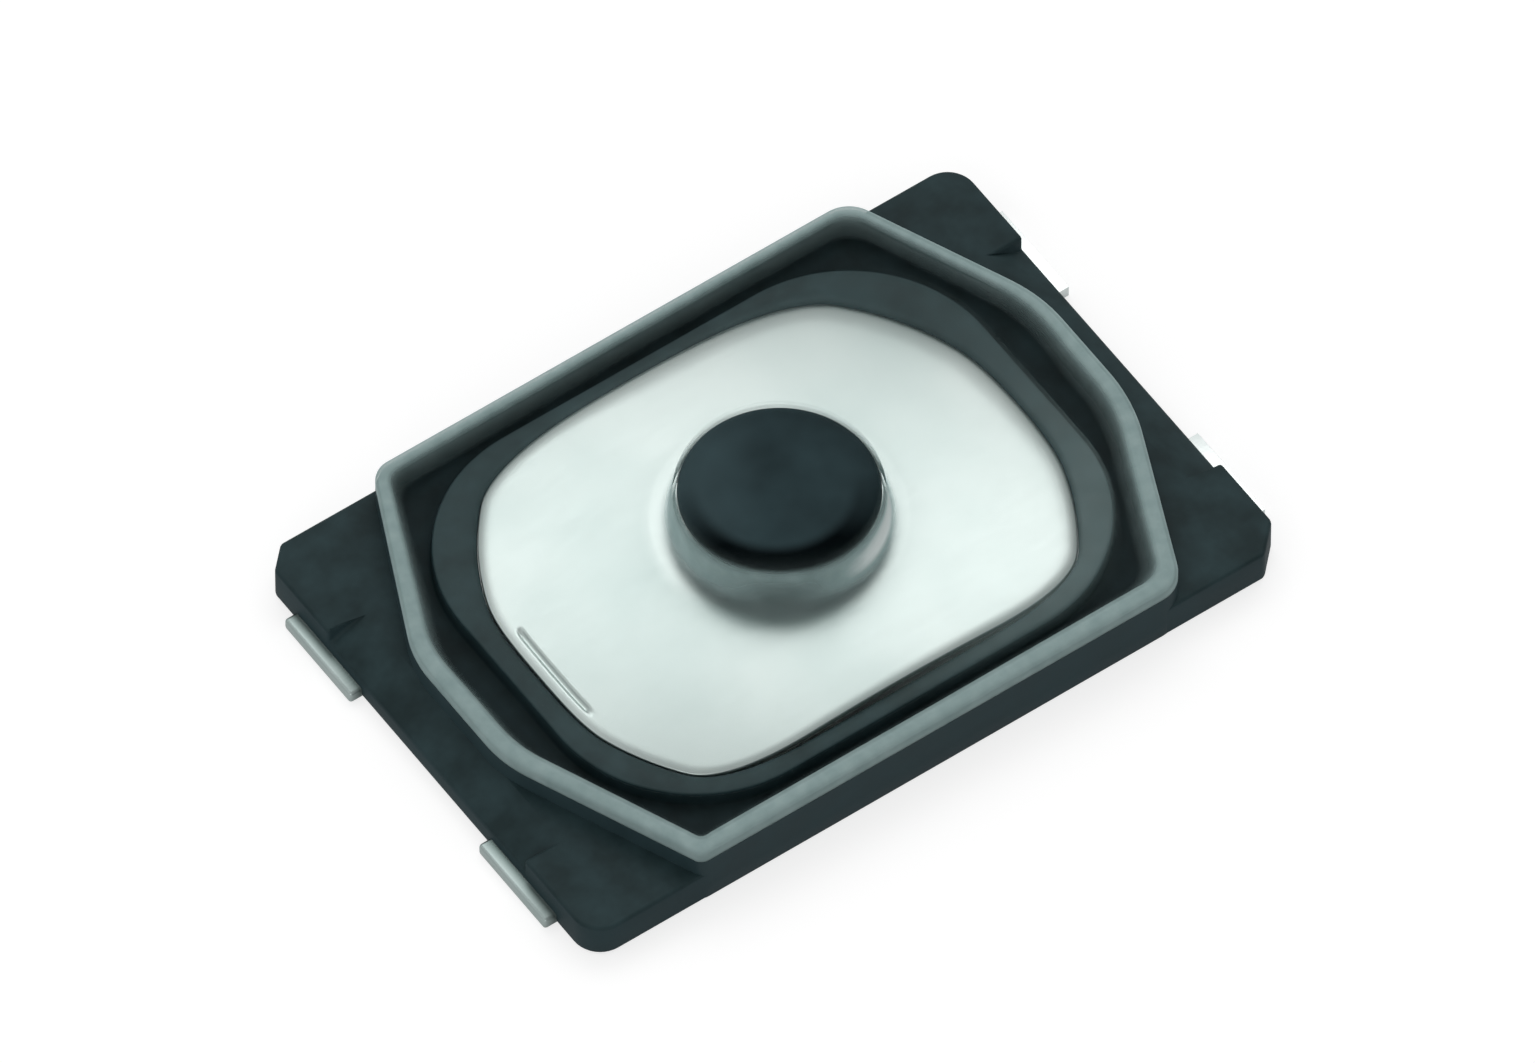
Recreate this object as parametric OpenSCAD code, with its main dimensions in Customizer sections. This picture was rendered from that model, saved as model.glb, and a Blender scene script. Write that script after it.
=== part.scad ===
// Low tactile push button switch for a printed circuit board, sealed by a thin formed film.
// The long side lies along X, the short side along Y, and Z is up, in millimetres.
// The origin is the middle of the underside, in the plane of the four soldered feet.

/* [Housing] */
// Length of the moulded housing between its two end faces
housing_l = 2.94; // [2.86:0.01:3.10]
// Width of the housing across its two long faces
housing_w = 2.00; // [1.98:0.01:2.20]
// Height of the flange and of its four corner ears
ear_h = 0.15; // [0.13:0.005:0.16]
// Radius of the two rounded upright corners
corner_r = 0.11; // [0.05:0.01:0.18]
// Length that is cut off each side at the two slanted upright corners
corner_cut = 0.085; // [0.05:0.005:0.18]
// How far the step in each end lies below the two ears beside it
step_drop = 0.07; // [0.02:0.005:0.07]
// Length of this step inwards from the end face
step_l = 0.16; // [0.08:0.01:0.20]
// Width of this step between its two ears
step_w = 1.18; // [0.80:0.01:1.30]

/* [Rim] */
// Length of the raised rim over the middles of its two ends
rim_l = 2.66; // [2.62:0.01:2.80]
// Length of the rim's long sides, between the corner points
rim_side_l = 2.02; // [1.96:0.01:2.10]
// Width of the straight middle of each end, between the points of its bends
rim_middle_w = 0.54; // [0.40:0.01:0.80]
// Radius of these bends
rim_bend_r = 0.45; // [0.20:0.01:0.60]
// Outer radius of the rim's four corners
rim_corner_r = 0.07; // [0.03:0.01:0.12]
// Inner radius of these corners
rim_inner_r = 0.12; // [0.06:0.01:0.20]
// Thickness of the rim's wall
rim_w = 0.055; // [0.04:0.005:0.07]
// Height of the rim, under the film
rim_h = 0.25; // [0.24:0.005:0.30]
// Height of the groove's floor, just inside the rim
groove_h = 0.17; // [0.16:0.005:0.20]

/* [Snap dome] */
// Diameter of the dome's foot before the sides are cut off
dome_d = 2.08; // [1.90:0.01:2.12]
// Width of the dome across its two long cut sides
dome_w = 1.60; // [1.40:0.01:1.62]
// Length of the dome across its two short cut ends
dome_l = 2.03; // [1.80:0.01:2.05]
// Thickness of the dome's sheet
dome_t = 0.04; // [0.03:0.005:0.05]
// Rise of the dome's underside above its foot
dome_rise = 0.09; // [0.07:0.005:0.10]
// Width of the carrier strip's stub that stays on one end of the dome
stub_w = 0.43; // [0.20:0.01:0.60]
// Length of this stub
stub_l = 0.05; // [0.03:0.005:0.08]
// Thickness to which this stub is coined
stub_t = 0.025; // [0.015:0.005:0.03]

/* [Dome pocket] */
// Clearance between the dome's edge and its pocket
dome_clear = 0.03; // [0.02:0.005:0.05]
// Width of the land along the pocket's two long sides
land_w = 0.035; // [0.03:0.005:0.045]
// Width of the land beyond the pocket's two ends
land_end_w = 0.06; // [0.03:0.005:0.08]
// Corner radius of the land's outline
land_r = 0.57; // [0.45:0.01:0.58]

/* [Contacts] */
// Height of the pocket's floor, which is the top of both contacts
contact_h = 0.19; // [0.18:0.005:0.20]
// Thickness of the contacts' sheet
lead_t = 0.05; // [0.04:0.005:0.06]
// Width of each soldered foot
foot_w = 0.40; // [0.30:0.01:0.50]
// Distance between the middles of the two feet at one end
foot_pitch = 1.17; // [1.00:0.01:1.25]
// How far each foot reaches out of the end face
foot_out = 0.05; // [0.03:0.005:0.10]
// Width of each arm between a foot and the outer contact's plate
arm_w = 0.20; // [0.10:0.01:0.22]
// How far the arms stand inside the plate's end
arm_inset = 0.085; // [0.05:0.005:0.12]
// Width of the strip that carries the middle contact
strip_w = 0.30; // [0.20:0.01:0.40]
// Height of this strip's underside
strip_h = 0.04; // [0.03:0.005:0.05]
// Diameter of the middle contact
middle_d = 0.50; // [0.40:0.01:0.60]
// Diameter of the bump that the dome snaps down on
bump_d = 0.24; // [0.15:0.01:0.30]
// Height of this bump
bump_h = 0.01; // [0.005:0.005:0.02]
// Plastic between the middle contact and the outer one
contact_gap = 0.37; // [0.25:0.01:0.45]
// How far the outer contact's plate stays inside the land's outline
plate_inset = 0.03; // [0.02:0.005:0.04]

/* [Pusher] */
// Diameter of the pusher's head
pusher_d = 0.70; // [0.55:0.01:0.80]
// Diameter of the tip that presses the dome
tip_d = 0.40; // [0.25:0.01:0.50]
// Radius of the head's upper edge
head_r = 0.04; // [0.02:0.005:0.05]
// Height of the upright band below this edge
head_band = 0.01; // [0.005:0.005:0.03]
// Height of the whole switch, up to the film over the pusher
overall_h = 0.55; // [0.50:0.01:0.65]

/* [Cover film] */
// Thickness of the film
film_t = 0.03; // [0.02:0.005:0.035]
// Thickness of the film where it is drawn out, on its upright walls
drawn_t = 0.015; // [0.01:0.005:0.02]
// Clearance between the film and the dome
film_clear = 0.01; // [0.01:0.005:0.02]
// Clearance between the film and the side of the pusher
boss_clear = 0.005; // [0.005:0.005:0.02]

/* [Hidden] */
$fn = 96;
arc_fn = 720;
// Margin by which a cut runs past the face that it opens
past = 0.1;

half_l = housing_l / 2;
half_w = housing_w / 2;
step_h = ear_h - step_drop;

dome_r = dome_d / 2;
dome_in_r = (dome_r * dome_r + dome_rise * dome_rise) / (2 * dome_rise);
dome_out_r = dome_in_r + dome_t;
dome_centre_h = contact_h + dome_rise - dome_in_r;
dome_top_h = contact_h + dome_rise + dome_t;
stub_h = contact_h + stub_t;

// Angle through which the rim turns at each bend
bend_angle = atan2((rim_l - rim_side_l) / 2, half_w - rim_middle_w / 2);

// The land is flush with the dome's foot
land_h = contact_h + dome_t;
land_l = dome_l + 2 * (dome_clear + land_end_w);
land_width = dome_w + 2 * (dome_clear + land_w);

window_d = middle_d + 2 * contact_gap;
// Inner end of the feet, where the arms and the strip rise
arm_x = land_l / 2 - plate_inset - arm_inset - lead_t;
foot_l = half_l + foot_out - arm_x;
arm_y = (foot_pitch - foot_w) / 2;
web_x = middle_d / 2 - lead_t;

pusher_top_h = overall_h - film_t;
head_h = pusher_top_h - head_r - head_band;
boss_r = pusher_d / 2 + boss_clear;

// Upright cylinder whose upper edge is rounded
module round_topped(r, h, edge) {
    rotate_extrude() {
        square([r - edge, h]);
        square([r, h - edge]);
        translate([r - edge, h - edge])
            intersection() {
                circle(edge);
                square(edge);
            }
    }
}

// Rectangle with round corners, centred on the origin
module round_rectangle(length, width, r) {
    square([length - 2 * r, width], center = true);
    square([length, width - 2 * r], center = true);
    for (x = [-1, 1], y = [-1, 1])
        translate([x * (length / 2 - r), y * (width / 2 - r)])
            circle(r);
}

// Rectangle with two opposite corners round and the other two slanted
module flange_outline() {
    intersection() {
        round_rectangle(housing_l, housing_w, corner_r);
        polygon([
            [half_l, half_w], [half_l, corner_cut - half_w], [half_l - corner_cut, -half_w],
            [-half_l, -half_w], [-half_l, half_w - corner_cut], [corner_cut - half_l, half_w]
        ]);
    }
}

// Outline of the rim, moved inwards: long sides, and ends that bend twice, all with round corners
module rim_outline(inset, r) {
    end_x = rim_l / 2 - inset;
    side_y = half_w - inset;
    bend_r = rim_bend_r - inset;
    bend_step = bend_r * tan(bend_angle / 2);
    bend_y = rim_middle_w / 2 - inset * tan(bend_angle / 2);
    corner_step = r * tan(45 - bend_angle / 2);
    corner_x = rim_side_l / 2 - inset * tan(45 - bend_angle / 2);
    along = [-sin(bend_angle), cos(bend_angle)];
    quarter = [
        [end_x, bend_y - bend_step],
        [end_x, bend_y] + bend_step * along,
        [corner_x, side_y] - corner_step * along,
        [corner_x - corner_step, side_y]
    ];
    polygon([
        for (q = quarter) q,
        for (i = [3:-1:0]) [-quarter[i][0], quarter[i][1]],
        for (q = quarter) -q,
        for (i = [3:-1:0]) [quarter[i][0], -quarter[i][1]]
    ]);
    for (x = [-1, 1], y = [-1, 1]) {
        translate([x * (end_x - bend_r), y * (bend_y - bend_step)])
            circle(bend_r, $fn = arc_fn);
        translate([x * (corner_x - corner_step), y * (side_y - r)])
            circle(r);
    }
}

// Outline of the land round the pocket, moved outwards
module land_outline(grow) {
    round_rectangle(land_l + 2 * grow, land_width + 2 * grow, land_r + grow);
}

// Outline of the dome, moved outwards: a circle cut off on four sides
module dome_outline(grow) {
    intersection() {
        circle(d = dome_d + 2 * grow);
        square([dome_l + 2 * grow, dome_w + 2 * grow], center = true);
    }
}

// Solid under a sphere that is concentric with the dome's upper face, moved outwards
module dome_cap(r, width) {
    rotate_extrude()
        intersection() {
            translate([0, dome_centre_h])
                circle(r, $fn = arc_fn);
            square([width, overall_h]);
        }
}

// Two feet side by side at one end, from the plane of the board up
module feet(side) {
    for (y = [-1, 1])
        translate([side > 0 ? arm_x : -arm_x - foot_l, y * foot_pitch / 2 - foot_w / 2, 0])
            cube([foot_l, foot_w, lead_t]);
}

// Plate with a round window that carries the dome's foot, on two arms up from its feet
module outer_contact_shape() {
    feet(-1);
    for (y = [-1, 1])
        translate([-arm_x - lead_t, y > 0 ? arm_y : -arm_y - arm_w, 0])
            cube([lead_t, arm_w, contact_h]);
    translate([0, 0, contact_h - lead_t])
        linear_extrude(lead_t)
            difference() {
                land_outline(-plate_inset);
                circle(d = window_d);
            }
}

// Round contact with a bump, on a strip that runs under the outer plate from its own feet
module middle_contact_shape() {
    feet(1);
    translate([arm_x, -foot_pitch / 2, 0])
        cube([lead_t, foot_pitch, lead_t]);
    translate([arm_x, -strip_w / 2, 0])
        cube([lead_t, strip_w, strip_h + lead_t]);
    translate([web_x, -strip_w / 2, strip_h])
        cube([arm_x + lead_t - web_x, strip_w, lead_t]);
    translate([web_x - lead_t, -strip_w / 2, strip_h])
        cube([2 * lead_t, strip_w, contact_h - lead_t / 2 - strip_h]);
    translate([0, 0, contact_h - lead_t])
        cylinder(d = middle_d, h = lead_t);
    round_bump();
}

// Low bump with a rounded edge on the middle contact
module round_bump() {
    translate([0, 0, contact_h - lead_t])
        round_topped(bump_d / 2, lead_t + bump_h, bump_h);
}

// Flange with four corner ears, and a lowered step between the ears at each end
module flange() {
    difference() {
        linear_extrude(ear_h)
            flange_outline();
        for (side = [-1, 1])
            translate([side > 0 ? half_l - step_l : -half_l - past, -step_w / 2, step_h])
                cube([step_l + past, step_w, step_drop + past]);
    }
}

// Black housing, moulded round the two contacts
module housing() {
    color("#2b3236")
        difference() {
            union() {
                flange();
                linear_extrude(rim_h)
                    rim_outline(0, rim_corner_r);
            }
            translate([0, 0, groove_h])
                linear_extrude(rim_h)
                    difference() {
                        rim_outline(rim_w, rim_inner_r);
                        land_outline(0);
                    }
            translate([0, 0, land_h])
                linear_extrude(rim_h)
                    land_outline(0);
            translate([0, 0, contact_h])
                linear_extrude(rim_h)
                    dome_outline(dome_clear);
            outer_contact_shape();
            middle_contact_shape();
        }
}

// Stamped contact under the dome's foot, with the two feet at one end
module outer_contact() {
    color("#b9ccc8")
        outer_contact_shape();
}

// Stamped contact under the dome's middle, with the two feet at the other end
module middle_contact() {
    color("#b9ccc8")
        middle_contact_shape();
}

// Snap dome, punched from thin spring sheet, with a coined stub on one end
module snap_dome() {
    color("#d9e4e2")
        difference() {
            intersection() {
                difference() {
                    dome_cap(dome_out_r, dome_r);
                    dome_cap(dome_in_r, dome_d);
                }
                translate([0, 0, contact_h])
                    linear_extrude(overall_h)
                        dome_outline(0);
            }
            translate([-dome_l / 2 - past, -stub_w / 2, stub_h])
                cube([stub_l + past, stub_w, overall_h]);
        }
}

// Black pusher: a round head over a cone that ends in a small tip on the dome
module pusher() {
    color("#20282b") {
        translate([0, 0, dome_top_h])
            cylinder(d1 = tip_d, d2 = pusher_d, h = head_h - dome_top_h);
        translate([0, 0, head_h])
            round_topped(pusher_d / 2, head_r + head_band, head_r);
    }
}

// Everything under the film, made higher by t and wider by drawn
module under_film(t, drawn) {
    linear_extrude(rim_h + t)
        difference() {
            rim_outline(0, rim_corner_r);
            rim_outline(rim_w + drawn, rim_inner_r - drawn);
        }
    linear_extrude(groove_h + t)
        rim_outline(rim_w, rim_inner_r);
    linear_extrude(land_h + t)
        land_outline(drawn);
    intersection() {
        dome_cap(dome_out_r + film_clear + t, dome_d);
        linear_extrude(overall_h)
            dome_outline(film_clear + drawn);
    }
    round_topped(boss_r + drawn, pusher_top_h + t, head_r + drawn);
}

// Clear film over the rim, the groove, the land, the dome and the pusher
module cover_film() {
    color("#9fb4b3", 0.6)
        difference() {
            under_film(film_t, drawn_t);
            under_film(0, 0);
        }
}

housing();
outer_contact();
middle_contact();
snap_dome();
pusher();
cover_film();
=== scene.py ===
import math

import bmesh
import bpy
import numpy as np
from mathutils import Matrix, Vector


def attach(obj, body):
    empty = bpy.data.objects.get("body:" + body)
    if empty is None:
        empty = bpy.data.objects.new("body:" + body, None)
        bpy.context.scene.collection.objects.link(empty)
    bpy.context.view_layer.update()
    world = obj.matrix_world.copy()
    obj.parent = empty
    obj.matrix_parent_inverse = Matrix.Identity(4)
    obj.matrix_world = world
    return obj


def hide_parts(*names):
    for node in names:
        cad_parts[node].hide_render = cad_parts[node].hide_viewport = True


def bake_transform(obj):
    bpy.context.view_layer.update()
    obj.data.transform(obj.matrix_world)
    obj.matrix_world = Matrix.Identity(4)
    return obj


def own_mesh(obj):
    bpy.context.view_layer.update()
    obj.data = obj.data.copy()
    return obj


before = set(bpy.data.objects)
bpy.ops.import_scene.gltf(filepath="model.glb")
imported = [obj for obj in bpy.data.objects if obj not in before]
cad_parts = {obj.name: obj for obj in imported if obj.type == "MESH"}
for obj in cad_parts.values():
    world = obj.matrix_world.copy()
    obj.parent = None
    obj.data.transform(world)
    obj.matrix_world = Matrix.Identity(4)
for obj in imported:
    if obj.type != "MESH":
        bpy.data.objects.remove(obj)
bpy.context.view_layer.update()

# A low surface-mount switch, 3 x 2 mm. Every size below is in millimetres and MM turns it into metres.
MM = 0.001


# Camera. The photograph is taken from far off with a long lens, over the near left corner of the
# switch, so that parallel edges stay parallel.
CAMERA_AZIMUTH, CAMERA_ELEVATION = math.radians(-35.16), math.radians(53.96)
VIEW_WIDTH = 1535 / 289.4
LENS, SENSOR = 900, 36
# Where the picture's middle lies from the middle of the underside, to the right and up
AIM_RIGHT, AIM_UP = -7.5 / 289.4, 41.0 / 289.4

back = Vector((
    math.sin(CAMERA_AZIMUTH) * math.cos(CAMERA_ELEVATION),
    -math.cos(CAMERA_AZIMUTH) * math.cos(CAMERA_ELEVATION),
    math.sin(CAMERA_ELEVATION),
))
turn = (-back).to_track_quat("-Z", "Y")
aim = turn @ Vector((AIM_RIGHT, AIM_UP, 0))
bpy.ops.object.camera_add()
camera = bpy.context.active_object
camera.name = "camera"
camera.data.lens = LENS
camera.data.sensor_width = SENSOR
camera.data.clip_start, camera.data.clip_end = 1 * MM, 9000 * MM
camera.location = (aim + back * VIEW_WIDTH * LENS / SENSOR) * MM
camera.rotation_mode = "QUATERNION"
camera.rotation_quaternion = turn
bpy.context.scene.camera = camera
bpy.context.scene.view_settings.view_transform = "Standard"


# Stage. The switch lies on a plain white sheet. A wide soft box behind it is mirrored in the metal, and
# two weaker ones model the walls at the front and the dome's left edge. The sheet keeps the shadow.
def colour(code):
    """Linear colour of an sRGB hex value"""
    parts = [int(code[i:i + 2], 16) / 255 for i in (1, 3, 5)]
    return [c / 12.92 if c <= 0.04045 else ((c + 0.055) / 1.055) ** 2.4 for c in parts] + [1]


def add(tree, kind, inputs=None, **settings):
    """A node with its settings, and with a value or another node's output at each named input"""
    node = tree.nodes.new(kind)
    for name, value in settings.items():
        setattr(node, name, value)
    for name, value in (inputs or {}).items():
        if isinstance(value, bpy.types.NodeSocket):
            tree.links.new(value, node.inputs[name])
        else:
            node.inputs[name].default_value = value
    return node


def seen_directly(tree, mirrored):
    """1 for rays from the camera and through glass, that share in mirrors, 0 for light on things"""
    path = add(tree, "ShaderNodeLightPath")
    straight = add(tree, "ShaderNodeMath", {0: path.outputs["Is Camera Ray"],
                                            1: path.outputs["Is Transmission Ray"]}, operation="MAXIMUM")
    mirror = add(tree, "ShaderNodeMath", {0: path.outputs["Is Glossy Ray"], 1: mirrored},
                 operation="MULTIPLY")
    return add(tree, "ShaderNodeMath", {0: straight.outputs[0], 1: mirror.outputs[0]},
               operation="MAXIMUM").outputs[0]


ROOM_LIGHT, ROOM_MIRRORED = 0.62, 0.15
world = bpy.data.worlds.new("white_room")
bpy.context.scene.world = world
world.use_nodes = True
world.node_tree.nodes.clear()
room = add(world.node_tree, "ShaderNodeMapRange", {"Value": seen_directly(world.node_tree, ROOM_MIRRORED),
                                                   "To Min": ROOM_LIGHT, "To Max": 1.0})
sky = add(world.node_tree, "ShaderNodeBackground", {"Strength": room.outputs[0]})
add(world.node_tree, "ShaderNodeOutputWorld", {"Surface": sky.outputs[0]})

SHEET_L, SHEET_WHITE, SHEET_GLOW = 8000, 0.40, 0.71
bpy.ops.mesh.primitive_plane_add(size=SHEET_L * MM, location=(0, 0, -0.0005 * MM))
sheet = bpy.context.active_object
sheet.name = "paper_sheet"
sheet.data.materials.append(bpy.data.materials.new("white_paper"))
sheet.data.materials[0].use_nodes = True
paper = sheet.data.materials[0].node_tree
paper.nodes.clear()
white = add(paper, "ShaderNodeBsdfDiffuse", {"Color": (SHEET_WHITE, SHEET_WHITE, SHEET_WHITE, 1)})
lift = add(paper, "ShaderNodeMath", {0: seen_directly(paper, 0.5), 1: SHEET_GLOW}, operation="MULTIPLY")
shine = add(paper, "ShaderNodeEmission", {"Strength": lift.outputs[0]})
both = add(paper, "ShaderNodeAddShader", {0: white.outputs[0], 1: shine.outputs[0]})
add(paper, "ShaderNodeOutputMaterial", {"Surface": both.outputs[0]})

for name, azimuth, elevation, distance, width, height, radiance in (
    ("soft_box_behind", 143, 56, 1600, 1680, 880, 1.55),
    ("soft_box_front", -52, 30, 1600, 960, 960, 1.2),
    ("soft_box_far_left", -130, 42, 1600, 1200, 1200, 0.35),
):
    a, e = math.radians(azimuth), math.radians(elevation)
    towards = Vector((math.sin(a) * math.cos(e), -math.cos(a) * math.cos(e), math.sin(e)))
    bpy.ops.object.light_add(type="AREA", location=towards * distance * MM)
    lamp = bpy.context.active_object
    lamp.name = name
    lamp.rotation_euler = towards.to_track_quat("Z", "Y").to_euler()
    lamp.data.shape = "RECTANGLE"
    lamp.data.size, lamp.data.size_y = width * MM, height * MM
    lamp.data.energy = radiance * math.pi * width * height * MM ** 2


# Housing. One black moulding of glass-filled liquid crystal polymer, shot round the two contacts: a
# flange with an ear at each corner, a thin rim, a groove, a land and the pocket that the dome lies in.
HOUSING_L, HOUSING_W = 2.94, 2.00
EAR_H = 0.15
CORNER_R, CUT_LEFT, CUT_RIGHT = 0.11, 0.085, 0.105
STEP_L, STEP_W, STEP_DROP = 0.16, 1.18, 0.07
RIM_H, RIM_W = 0.25, 0.055
GROOVE_H, LAND_H, POCKET_H = 0.17, 0.23, 0.185
LAND_L, LAND_FAR, LAND_NEAR, LAND_R = 2.21, 0.882, 0.853, 0.57
DOME_R, DOME_L, DOME_FAR, DOME_NEAR, DOME_CLEAR = 1.035, 2.03, 0.815, 0.775, 0.003
# The punched disc sits a little nearer and further left than the cuts, which are softer along the sides
DISC_X, DISC_Y, END_SOFTNESS, SIDE_SOFTNESS = -0.008, -0.028, 0.04, 0.20
# The underside clears the board, so that only the feet touch it
STAND_OFF = 0.004
# Corner points of the rim with the radius that each is rounded to, from the far right one round
RIM_POINTS = (
    (1.012, 1.0, 0.13), (-0.995, 1.0, 0.09), (-1.330, 0.28, 0.45), (-1.330, -0.26, 0.50),
    (-1.012, -1.0, 0.045), (1.012, -1.0, 0.12), (1.328, -0.27, 0.70), (1.328, 0.28, 0.60),
)

# Directions of the mesh's spokes, closer together at the rim's corners and at the dome's stub
SPOKES = 352
fine = np.linspace(0, 2 * math.pi, 7201)
density = np.ones_like(fine)
for direction, spread in ((44.6, 3), (135.4, 3), (224.6, 3), (315.4, 3), (168, 2), (192, 2)):
    apart = (np.degrees(fine) - direction + 180) % 360 - 180
    density += 3.5 * np.exp(-(apart / spread) ** 2)
share = np.concatenate([[0], np.cumsum((density[1:] + density[:-1]) / 2)])
THETA = np.interp(np.arange(SPOKES) / SPOKES, share / share[-1], fine)


def outline(corners, inset=0.0, soften=1.0):
    """Distance from the middle along each spoke to a polygon with round corners, moved inwards"""
    points = []
    for i, (x, y, r) in enumerate(corners):
        here = np.array((x, y))
        before = np.array(corners[i - 1][:2]) - here
        after = np.array(corners[(i + 1) % len(corners)][:2]) - here
        before, after = before / np.linalg.norm(before), after / np.linalg.norm(after)
        half = math.acos(before @ after) / 2
        inwards = (before + after) / np.linalg.norm(before + after)
        here = here + inwards * inset / math.sin(half)
        r = max(r + (soften - 1) * inset, 0.02)
        centre = here + inwards * r / math.sin(half)
        first = here + before * r / math.tan(half) - centre
        for step in np.linspace(0, math.pi - 2 * half, 24):
            c, s = math.cos(step), math.sin(step)
            points.append(centre + (c * first[0] - s * first[1], s * first[0] + c * first[1]))
    points = np.array(points + points[:1])
    dense = np.concatenate([np.linspace(p, q, 60, endpoint=False)
                            for p, q in zip(points[:-1], points[1:])])
    angles = np.arctan2(dense[:, 1], dense[:, 0]) % (2 * math.pi)
    order = np.argsort(angles)
    return np.interp(THETA, angles[order], np.hypot(*dense.T)[order], period=2 * math.pi)


# The rim's width varies round the switch: directions in degrees and share of RIM_W
RIM_SHARE = np.interp(np.degrees(THETA), (0, 20, 45, 90, 135, 160, 180, 270, 315, 340),
                      (1.15, 0.85, 0.75, 0.78, 0.90, 1.15, 1.25, 1.25, 1.30, 1.25), period=360)


def rim(inset, soften=0.0):
    """Outline of the rim's outer wall, moved inwards by inset, times RIM_SHARE in each direction"""
    outside = outline(RIM_POINTS)
    return outside + (outline(RIM_POINTS, inset, soften) - outside) * RIM_SHARE


def land(grow):
    """Outline of the land between the groove and the pocket, made larger by grow"""
    x, far, near, r = LAND_L / 2 + grow, LAND_FAR + grow, LAND_NEAR + grow, LAND_R + grow
    return outline(((x, far, r), (-x, far, r), (-x, -near, r), (x, -near, r)))


def dome_edge(grow):
    """Circle that is cut off on four sides, with the corners that the cuts leave rounded"""
    along = DISC_X * np.cos(THETA) + DISC_Y * np.sin(THETA)
    reach = along + np.sqrt(along ** 2 + (DOME_R + grow) ** 2 - DISC_X ** 2 - DISC_Y ** 2)
    across = np.where(np.sin(THETA) > 0, DOME_FAR, DOME_NEAR)
    for half, axis, softness in (
        (DOME_L / 2, np.cos(THETA), END_SOFTNESS), (across, np.sin(THETA), SIDE_SOFTNESS),
    ):
        cut = (half + grow) / np.maximum(abs(axis), 1e-6)
        near_corner = np.maximum(softness - abs(reach - cut), 0) / softness
        reach = np.minimum(reach, cut) - near_corner ** 2 * softness / 4
    return reach


def ring(reach, height, centre=(0, 0)):
    """Points of one ring, in metres"""
    height = np.broadcast_to(height, (SPOKES,))
    return np.column_stack([centre[0] + reach * np.cos(THETA), centre[1] + reach * np.sin(THETA),
                            height]) * MM


def lofted(name, rings, closed=True):
    """A circle that is extruded from ring to ring and ends on a pole; a closed one starts on a pole too"""
    bpy.ops.object.select_all(action="DESELECT")
    bpy.ops.mesh.primitive_circle_add(vertices=SPOKES, radius=MM, enter_editmode=True,
                                      fill_type="TRIFAN" if closed else "NOTHING")
    piece = bpy.context.active_object
    piece.name = piece.data.name = name
    mesh = bmesh.from_edit_mesh(piece.data)
    spoke = mesh.verts.layers.int.new("spoke")
    level = mesh.verts.layers.int.new("ring")
    bpy.ops.mesh.select_all(action="DESELECT")
    pole = [v for v in mesh.verts if v.co.length < 0.5 * MM]
    for vertex in pole:
        vertex.co = (0, 0, rings[0][0][2])
    for i, vertex in enumerate(v for v in mesh.verts if v not in pole):
        vertex[spoke] = i
        vertex.select = True
    mesh.select_flush(True)
    for number, points in enumerate(rings):
        if number:
            bpy.ops.mesh.extrude_edges_move()
            mesh = bmesh.from_edit_mesh(piece.data)
            spoke = mesh.verts.layers.int["spoke"]
            level = mesh.verts.layers.int["ring"]
        for vertex in mesh.verts:
            if vertex.select:
                vertex.co = points[vertex[spoke]]
                vertex[level] = number
        bmesh.update_edit_mesh(piece.data)
    bpy.ops.mesh.extrude_edges_move()
    bpy.ops.mesh.merge(type="CENTER")
    bpy.ops.mesh.select_all(action="SELECT")
    bpy.ops.mesh.normals_make_consistent(inside=False)
    bpy.ops.object.mode_set(mode="OBJECT")
    bpy.ops.object.shade_smooth()
    return piece


def apply_modifiers(piece):
    """Applies the piece's modifiers in their order"""
    bpy.context.view_layer.objects.active = piece
    for modifier in list(piece.modifiers):
        bpy.ops.object.modifier_apply(modifier=modifier.name)


def placed(piece):
    """Puts the object's own place into its mesh"""
    bpy.ops.object.select_all(action="DESELECT")
    piece.select_set(True)
    bpy.context.view_layer.objects.active = piece
    bpy.ops.object.transform_apply(location=True, rotation=True, scale=True)


# The flange: a plate with two round and two slanted corners, less a sloping step in each end
bpy.ops.object.select_all(action="DESELECT")
bpy.ops.mesh.primitive_cube_add(size=1)
flange = bpy.context.active_object
FLANGE_INSET = 0.0015
flange.scale = (HOUSING_L * MM, (HOUSING_W - 2 * FLANGE_INSET) * MM, (EAR_H - STAND_OFF) * MM)
flange.location = (0, 0, (EAR_H + STAND_OFF) / 2 * MM)
placed(flange)
for slanted, side, size, segments in (
    (False, -1, CORNER_R, 10), (False, 1, CORNER_R, 10), (True, -1, CUT_LEFT, 1), (True, 1, CUT_RIGHT, 1),
):
    bpy.ops.object.mode_set(mode="EDIT")
    bpy.ops.mesh.select_all(action="DESELECT")
    mesh = bmesh.from_edit_mesh(flange.data)
    for edge in mesh.edges:
        low, high = (v.co for v in edge.verts)
        upright = (low - high).to_2d().length < 1e-7
        at_corner = abs(low.x) > (HOUSING_L / 2 - 0.001) * MM and abs(low.y) > (HOUSING_W / 2 - 0.01) * MM
        if upright and at_corner and low.x * side > 0 and (low.x * low.y < 0) == slanted:
            edge.select = True
    bpy.ops.mesh.bevel(offset=size * MM, segments=segments, affect="EDGES")
    bpy.ops.object.mode_set(mode="OBJECT")
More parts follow.
